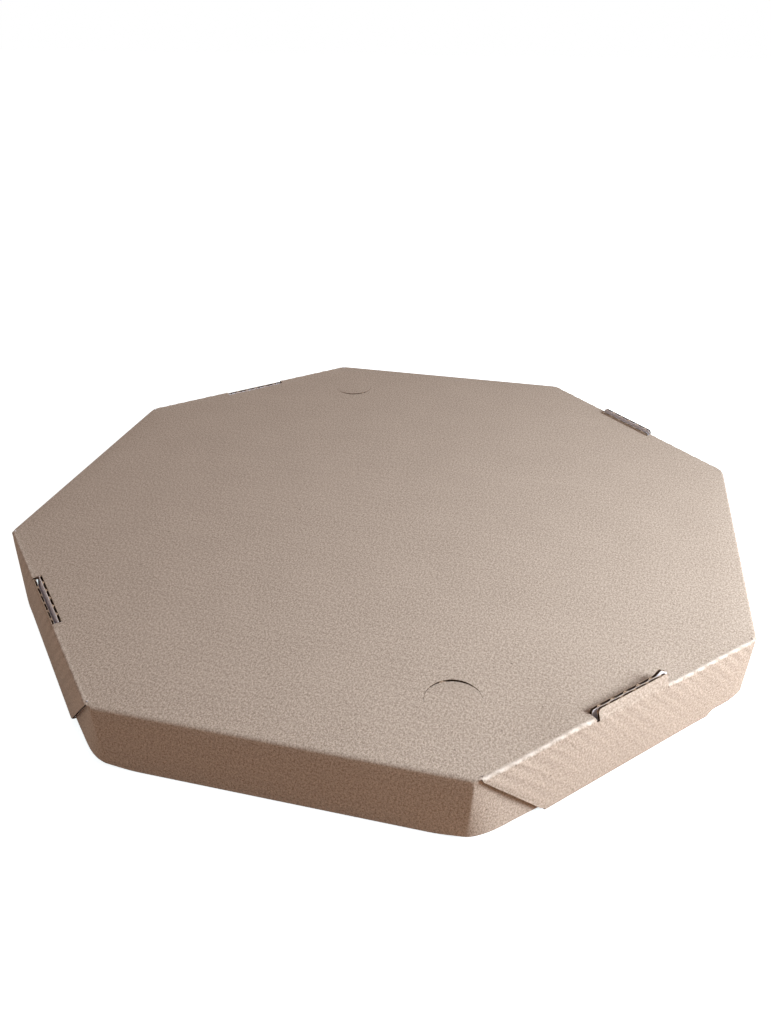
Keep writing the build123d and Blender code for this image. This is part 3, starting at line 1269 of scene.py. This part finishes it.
class PaperGroups:
    """The shader node groups of the paper effects. Places come in as millimetres of the blank."""

    def __init__(self) -> None:
        """Build each group once."""
        self.trees = {}
        makers = {
            PaperEffect.GRAIN: self.grain, PaperEffect.SPECKS: self.specks,
            PaperEffect.FLUTES: self.flutes, PaperEffect.FOLDS: self.folds,
        }
        for effect, maker in makers.items():
            name, inputs, outputs = effect.value
            tree = bpy.data.node_groups.new(name, "ShaderNodeTree")
            for socket in inputs:
                kind = "NodeSocketVector" if socket == "Place" else "NodeSocketFloat"
                tree.interface.new_socket(socket, in_out="INPUT", socket_type=kind)
            for socket in outputs:
                tree.interface.new_socket(socket, in_out="OUTPUT", socket_type="NodeSocketFloat")
            wiring = Wiring(tree)
            given = wiring.node("NodeGroupInput").outputs
            results = maker(wiring, given)
            wiring.node("NodeGroupOutput", dict(zip(outputs, results)))
            self.trees[effect] = tree

    def place(self, wiring: Wiring, effect: PaperEffect, **inputs: object) -> bpy.types.Node:
        """Put a group into a material with its own values."""
        return wiring.node("ShaderNodeGroup", inputs, node_tree=self.trees[effect])

    def grain(self, w: Wiring, given: bpy.types.NodeOutputs) -> list[bpy.types.NodeSocket]:
        """Fine mottle of the pulp, coarser fibres, and faint clouds.

        Args:
            w: Where to build.
            given: Inputs of the group.

        Returns:
            Tone, around 0, and height.
        """
        inputs = {"Vector": given["Place"], "Scale": (1.15, 0.9, 1.0), "Rotation": (0, 0, 0.2)}
        lie = w.node("ShaderNodeMapping", inputs)
        fine = w.noise(lie.outputs[0], 1.5, 3.0, 0.6)
        fibre = w.noise(lie.outputs[0], 0.8, 1.0, 0.6)
        cloud = w.noise(given["Place"], 0.03, 3.0)
        tone = w.math("MULTIPLY_ADD", fine, 1.5, fibre)
        height = w.math("MULTIPLY_ADD", fibre, 0.7, fine)
        return [w.math("MULTIPLY_ADD", cloud, 0.1, tone), height]

    def specks(self, w: Wiring, given: bpy.types.NodeOutputs) -> list[bpy.types.NodeSocket]:
        """Dark bits in the pulp: a spot in a share of the cells of a Voronoi pattern.

        Args:
            w: Where to build.
            given: Inputs of the group.

        Returns:
            Mask that is 1 on a speck.
        """
        inputs = {"Vector": given["Place"], "Scale": 0.11}
        cell = w.node("ShaderNodeTexVoronoi", inputs, voronoi_dimensions="2D")
        chance = w.node("ShaderNodeSeparateColor", {"Color": cell.outputs["Color"]})
        size = w.math("MULTIPLY_ADD", chance.outputs[1], 0.045, 0.02)
        spot = w.math("MULTIPLY", w.math("SUBTRACT", size, cell.outputs["Distance"]), 30.0, clamp=True)
        chosen = w.math("LESS_THAN", chance.outputs[0], given["Share"])
        return [w.math("MULTIPLY", spot, chosen)]

    def flutes(self, w: Wiring, given: bpy.types.NodeOutputs) -> list[bpy.types.NodeSocket]:
        """Flutes that show through the liner: a sine across them, uneven in place and strength, and streaks.

        Args:
            w: Where to build.
            given: Inputs of the group.

        Returns:
            Wave around 0.
        """
        across = w.node("ShaderNodeSeparateXYZ", {0: given["Place"]}).outputs[1]
        shifted = w.math("ADD", w.noise(given["Place"], 0.012, 1.0), across)
        turns = w.math("DIVIDE", shifted, given["Pitch"])
        wave = w.math("SINE", w.math("MULTIPLY", turns, 2 * math.pi))
        patch = w.math("MULTIPLY_ADD", w.noise(given["Place"], 0.014, 2.0), 1.1, 0.65, clamp=True)
        drawn = w.node("ShaderNodeMapping", {"Vector": given["Place"], "Scale": (0.006, 0.3, 1.0)})
        streak = w.noise(drawn.outputs[0], 1.0, 2.0, 0.6)
        return [w.math("MULTIPLY_ADD", wave, patch, w.math("MULTIPLY", streak, 1.2))]

    def folds(self, w: Wiring, given: bpy.types.NodeOutputs) -> list[bpy.types.NodeSocket]:
        """Paper made pale along the slanting folds, in teeth where they cross the flutes: scuffed paper,
        with painted highlight.

        The painted highlight is strongest on the fold that faces +X and -Y, towards the window lamp.

        Args:
            w: Where to build.
            given: Inputs of the group. Single and Double are the folds' distances from the middle.

        Returns:
            Rub, 1 on a fold's ridge, pale from scuffing and painted highlight, and strain, which fades down
            the leaf from a slanting fold.
        """
        axis = w.node("ShaderNodeSeparateXYZ", {0: given["Place"]}).outputs
        x, y = w.math("ABSOLUTE", axis[0]), w.math("ABSOLUTE", axis[1])
        past_single = w.math("SUBTRACT", w.math("MAXIMUM", x, y), given["Single"])
        slant = w.math("MULTIPLY", w.math("ADD", x, y), 1.0 / SQRT2)
        past_double = w.math("SUBTRACT", slant, given["Double"])
        ragged = w.noise(given["Place"], 0.45, 2.0, 0.6)
        turns = w.math("DIVIDE", axis[1], given["Pitch"])
        tooth = w.math("COSINE", w.math("MULTIPLY", turns, 2 * math.pi))
        middle = w.math("MULTIPLY_ADD", ragged, 0.8, w.math("MULTIPLY_ADD", tooth, 0.35, 0.35))
        off = w.math("ABSOLUTE", w.math("SUBTRACT", past_double, middle))
        aside = w.math("MULTIPLY", w.math("ABSOLUTE", w.math("SUBTRACT", x, y)), 1.0 / SQRT2)
        # Painted highlight: the ridge is paled most on the fold at +X and -Y, which faces the window lamp.
        lit_fold_weight = w.math("MULTIPLY_ADD", w.math("SUBTRACT", axis[0], axis[1]), 0.005, -0.5, clamp=True)
        band = w.math("MULTIPLY_ADD", off, -0.7, 1.0, clamp=True)
        for share in (
            w.math("MULTIPLY_ADD", tooth, 0.3, 0.7),
            w.math("LESS_THAN", past_single, 0.8),
            w.math("GREATER_THAN", aside, given["Lock"]),
            w.math("MULTIPLY_ADD", lit_fold_weight, 0.8, 0.2),
        ):
            band = w.math("MULTIPLY", band, share)
        fade = w.math("MULTIPLY_ADD", past_double, -0.03, 1.0, clamp=True)
        strain = w.math("MULTIPLY", fade, w.math("GREATER_THAN", past_double, 0.3))
        strain = w.math("MULTIPLY", strain, w.math("LESS_THAN", past_single, 4.0))
        return [band, strain]


@dataclass(frozen=True)
class PaperFinish:
    """Look of one paper of the board.

    Attributes:
        name: Name of its material.
        pale: Colour of its light fibres.
        deep: Colour of its dark fibres.
        ridge_scuff_and_highlight: Colour on the ridge of a fold: scuffed paper with painted highlight.
        speck: Colour of the bits in the pulp.
        specks: Share of the places that hold one.
        speck_cover: How far a bit takes its own colour.
        ridge_scuff_and_highlight_share: How far a fold's ridge takes the rubbed colour.
        contrast: How far the grain goes between pale and deep.
        grain: Height of the grain in millimetres.
        flutes: Height of the flutes that show through, in millimetres.
        flute_valley_shade: How far painted shade darkens the paper along the flutes' valleys.
        strain: How much more the flutes show below a slanting fold.
        roughness: Roughness on the deep and on the pale fibres.
        specular: Strength of its sheen.
    """

    name: str
    pale: Colour
    deep: Colour
    ridge_scuff_and_highlight: Colour
    speck: Colour
    specks: float = 0.16
    speck_cover: float = 0.75
    ridge_scuff_and_highlight_share: float = 0.9
    contrast: float = 0.66
    grain: float = 0.045
    flutes: float = 0.0105
    flute_valley_shade: float = 0.03
    strain: float = 4.0
    roughness: tuple[float, float] = (0.9, 0.78)
    specular: float = 0.3

    def material(self, groups: PaperGroups, sheet: FoldedSheet, prefix: str) -> bpy.types.Material:
        """Paper on one sheet, whose folds it is rubbed along.

        Args:
            groups: The shared effects.
            sheet: The sheet whose folds and flutes it shows.
            prefix: First part of the material's name.

        Returns:
            The new material.
        """
        material = bpy.data.materials.new(f"{prefix}_{self.name}")
        material.use_nodes = True
        w = Wiring(material.node_tree)
        flat = w.node("ShaderNodeUVMap", uv_map=BLANK_UV)
        scaled = w.node("ShaderNodeVectorMath", {0: flat.outputs[0], "Scale": 1.0 / MM}, operation="SCALE")
        place, pitch = scaled.outputs[0], sheet.board.pitch
        grain = groups.place(w, PaperEffect.GRAIN, Place=place)
        specks = groups.place(w, PaperEffect.SPECKS, Place=place, Share=self.specks)
        flutes = groups.place(w, PaperEffect.FLUTES, Place=place, Pitch=pitch)
        folds = groups.place(
            w, PaperEffect.FOLDS, Place=place, Single=sheet.single_start, Double=sheet.double_start,
            Lock=sheet.slot / 2, Pitch=pitch,
        )
        tone = w.math("MULTIPLY_ADD", grain.outputs["Tone"], self.contrast, 0.5)
        strained = w.math("MULTIPLY_ADD", folds.outputs["Strain"], self.strain, 1.0)
        wave = w.math("MULTIPLY", flutes.outputs["Wave"], strained)
        # Painted shade along the flutes' valleys, stronger below a slanting fold.
        tone = w.math("MULTIPLY_ADD", wave, self.flute_valley_shade, tone, clamp=True)
        colour = w.mix(tone, self.deep, self.pale)
        # Pale ridges along the folds: scuffed paper with painted highlight.
        colour = w.mix(w.math("MULTIPLY", folds.outputs["Rub"], self.ridge_scuff_and_highlight_share), colour, self.ridge_scuff_and_highlight)
        colour = w.mix(w.math("MULTIPLY", specks.outputs["Mask"], self.speck_cover), colour, self.speck)
        rough = w.node("ShaderNodeMapRange", {0: tone, 3: self.roughness[0], 4: self.roughness[1]})
        height = w.math("MULTIPLY", grain.outputs["Height"], self.grain)
        height = w.math("MULTIPLY_ADD", wave, self.flutes, height)
        bump = w.node("ShaderNodeBump", {"Height": height, "Distance": MM, "Strength": 1.0})
        w.feed(material.node_tree.nodes["Principled BSDF"], {
            "Base Color": colour, "Roughness": rough.outputs[0], "Normal": bump.outputs[0],
            "Specular IOR Level": self.specular,
        })
        return material


# The colour on the folds' ridges in each finish is scuffed paper with painted highlight.
KRAFT = PaperFinish(
    name="kraft", pale=(0.574, 0.468, 0.391), deep=(0.277, 0.216, 0.172), ridge_scuff_and_highlight=(0.75, 0.655, 0.58),
    speck=(0.11, 0.075, 0.055),
)
# The lavender cast of this white liner is painted: it stands in for the cool light of the shade it is seen
# in.
WHITE = PaperFinish(
    name="white_liner", pale=(0.80, 0.785, 0.83), deep=(0.66, 0.645, 0.70), ridge_scuff_and_highlight=(0.84, 0.83, 0.86),
    speck=(0.35, 0.32, 0.33), specks=0.1, grain=0.02,
)
CUT_EDGE = PaperFinish(
    name="cut_edge", pale=(0.50, 0.37, 0.27), deep=(0.30, 0.205, 0.14), ridge_scuff_and_highlight=(0.56, 0.44, 0.34),
    speck=(0.10, 0.07, 0.05), grain=0.03, flutes=0.0,
)
# Painted shade: the open flutes' hollows are brown core paper, coloured near black here for the shade inside
# them.
FLUTE_HOLLOW_SHADE = PaperFinish(
    name="flute_hollow_shade", pale=(0.075, 0.045, 0.03), deep=(0.035, 0.02, 0.014), ridge_scuff_and_highlight=(0.075, 0.045, 0.03),
    speck=(0.03, 0.02, 0.015), grain=0.02, flutes=0.0,
)


@dataclass(frozen=True)
class Lamp:
    """Square soft lamp.

    Attributes:
        name: Its name.
        place: Where it hangs, in metres.
        size: Its side in metres.
        watts: Its power.
        tint: Its colour.
    """

    name: str
    place: tuple[float, float, float]
    size: float
    watts: float
    tint: Colour

    def hang(self, aim: tuple[float, float, float]) -> None:
        """Put the lamp into the scene.

        Args:
            aim: Point that it looks at.
        """
        light = bpy.data.lights.new(self.name, "AREA")
        light.energy = self.watts
        light.size = self.size
        light.color = self.tint
        lamp = bpy.data.objects.new(self.name, light)
        lamp.location = self.place
        lamp.rotation_euler = (Vector(aim) - Vector(self.place)).to_track_quat("-Z", "Y").to_euler()
        bpy.context.scene.collection.objects.link(lamp)


@dataclass
class Stage:
    """Pale floor, soft light and the camera, in metres and degrees.

    Attributes:
        floor_reach: Half the floor's side.
        floor_glow: Light that the floor gives off to the camera.
        floor_pale: Colour that takes the object's shadow before the camera.
        floor_bounce: Colour that the floor throws back at the object.
        ambient: Colour of the even light.
        ambient_level: Strength of the even light.
        lamps: The lamps.
        aim: Point that the lamps look at.
        camera_place: Where the camera stands.
        camera_turn: Its azimuth from -Y towards +X, its elevation and its roll.
        lens: Focal length in millimetres.
    """

    floor_reach: float = 6.0
    floor_glow: Colour = (0.80, 0.86, 0.88)
    floor_pale: Colour = (0.9, 0.9, 0.9)
    floor_bounce: Colour = (0.42, 0.24, 0.13)
    ambient: Colour = (1.0, 0.73, 0.65)
    ambient_level: float = 0.25
    lamps: tuple[Lamp, ...] = (
        Lamp("window", (0.66, -0.165, 0.415), 0.35, 9.2, (0.88, 0.97, 1.02)),
        Lamp("fill", (-1.1, -0.9, 0.5), 1.2, 2.6, (1.1, 1.0, 0.82)),
        Lamp("side", (1.2, 0.02, 0.12), 0.5, 2.8, (0.74, 0.89, 1.08)),
        Lamp("back", (-0.7, 1.1, 0.5), 0.9, 2.1, (1.04, 0.96, 0.85)),
    )
    aim: tuple[float, float, float] = (0.0, 0.0, 0.02)
    camera_place: tuple[float, float, float] = (0.11538, -0.47594, 0.33061)
    camera_turn: tuple[float, float, float] = (13.856, 31.487, 0.066)
    lens: float = 29.41

    def build(self) -> None:
        """Set up everything around the object."""
        bpy.context.scene.view_settings.view_transform = "Standard"
        self.floor()
        self.world()
        for lamp in self.lamps:
            lamp.hang(self.aim)
        self.camera()

    def seen(self, w: Wiring) -> bpy.types.NodeSocket:
        """Tell what is seen from what only lights.

        Args:
            w: Where to build.

        Returns:
            1 for what the camera sees by itself, in a reflection or through glass.
        """
        path = w.node("ShaderNodeLightPath").outputs
        mirrored = w.math("MAXIMUM", path["Is Glossy Ray"], path["Is Transmission Ray"])
        return w.math("MAXIMUM", path["Is Camera Ray"], mirrored)

    def floor(self) -> None:
        """Lay a floor that is white with the object's shadow to the camera and warm to other rays."""
        reach = self.floor_reach
        corners = [(x * reach, y * reach, 0.0) for x, y in ((-1, -1), (1, -1), (1, 1), (-1, 1))]
        mesh = bpy.data.meshes.new("floor")
        mesh.from_pydata(corners, [], [(0, 1, 2, 3)])
        material = bpy.data.materials.new("floor")
        material.use_nodes = True
        material.node_tree.nodes.clear()
        w = Wiring(material.node_tree)
        glow = w.node("ShaderNodeEmission", {"Color": self.floor_glow, "Strength": 1.0})
        pale = w.node("ShaderNodeBsdfDiffuse", {"Color": self.floor_pale})
        white = w.node("ShaderNodeAddShader", {0: glow.outputs[0], 1: pale.outputs[0]})
        bounce = w.node("ShaderNodeBsdfDiffuse", {"Color": self.floor_bounce})
        mixed = w.node("ShaderNodeMixShader", {0: self.seen(w), 1: bounce.outputs[0], 2: white.outputs[0]})
        w.node("ShaderNodeOutputMaterial", {"Surface": mixed.outputs[0]})
        mesh.materials.append(material)
        floor = bpy.data.objects.new("floor", mesh)
        bpy.context.scene.collection.objects.link(floor)

    def world(self) -> None:
        """Surround the object with even light, white where the camera sees it."""
        world = bpy.data.worlds.new("studio")
        world.use_nodes = True
        world.node_tree.nodes.clear()
        w = Wiring(world.node_tree)
        even = w.node("ShaderNodeBackground", {"Color": self.ambient, "Strength": self.ambient_level})
        white = w.node("ShaderNodeBackground", {"Color": (1.0, 1.0, 1.0), "Strength": 1.0})
        mixed = w.node("ShaderNodeMixShader", {0: self.seen(w), 1: even.outputs[0], 2: white.outputs[0]})
        w.node("ShaderNodeOutputWorld", {"Surface": mixed.outputs[0]})
        bpy.context.scene.world = world

    def camera(self) -> None:
        """Stand the camera at the photograph's viewing angle."""
        data = bpy.data.cameras.new("camera")
        data.lens = self.lens
        camera = bpy.data.objects.new("camera", data)
        azimuth, elevation, roll = (math.radians(angle) for angle in self.camera_turn)
        level = Vector((math.cos(azimuth), math.sin(azimuth), 0.0))
        flat_back = Vector((math.sin(azimuth), -math.cos(azimuth), 0.0))
        back = flat_back * math.cos(elevation) + Vector((0.0, 0.0, math.sin(elevation)))
        upright = back.cross(level)
        right = level * math.cos(roll) - upright * math.sin(roll)
        up = level * math.sin(roll) + upright * math.cos(roll)
        turn = Matrix((right, up, back)).transposed().to_4x4()
        camera.matrix_world = Matrix.Translation(self.camera_place) @ turn
        bpy.context.scene.collection.objects.link(camera)
        bpy.context.scene.camera = camera


def add_sheet(
    sheet: FoldedSheet, name: str, place: Matrix, body: str, node: str, groups: PaperGroups
) -> None:
    """Build a sheet, dress it and let it stand for its CAD node.

    Args:
        sheet: The sheet.
        name: Name of the piece.
        place: Matrix, in metres, from the sheet's frame to the box.
        body: Body that it moves with.
        node: CAD node that it stands for.
        groups: The shared effects.
    """
    piece = sheet.build(name, place)
    sheet.dress(piece, groups)
    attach(piece, body)
    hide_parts(node)


def main() -> None:
    """Load the frame, build the sheets, light them and set the camera."""
    logging.basicConfig(level=logging.INFO, format="%(name)s: %(message)s")
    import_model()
    groups = PaperGroups()
    low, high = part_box("lid")
    lid = Lid(
        flats=(high.x - low.x) / MM,
        wall=SKIRT,
        locks=(
            Lock(
                shift=-1.5, back=6.4, trim=1.7, play=2.0, rise=6.0, tilt=-0.025, lean=1.7,
                tab_drop=-1.7, ear=2.3,
            ),
            Lock(shift=-3.0, back=5.2, play=0.5, rise=3.6, lean=0.8, tab_drop=1.6, tab_lean=-1.0),
            Lock(play=0.5, rise=-0.6, lean=0.5, tab_drop=3.8),
            Lock(shift=5.0, back=6.2, play=0.5, rise=0.4, lean=0.9, tab_drop=1.6, tab_lean=0.3),
        ),
    )
    lid_place = Matrix.Translation((0.0, 0.0, high.z - TONGUE * MM))
    add_sheet(lid, "lid_sheet", lid_place, "lid", "lid", groups)
    low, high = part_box("base_tray")
    tray = FoldedSheet(
        flats=(high.x - low.x) / MM,
        wall=(high.z - low.z) / MM - TONGUE - HEADROOM,
        slant_beside_y=45.0,
        slant_beside_x=32.0,
        flaps=(
            Flap(trim=2.5), Flap(trim=12.0, slope=16.0, rise=0.3, corner_rise=0.6, corner_reach=14.0),
        ),
    )
    tray_place = Matrix.Translation((0.0, 0.0, TONGUE * MM)) @ Matrix.Rotation(math.pi, 4, "X")
    add_sheet(tray, "tray_sheet", tray_place, "tray", "base_tray", groups)
    Stage().build()


if __name__ == "__main__":
    main()
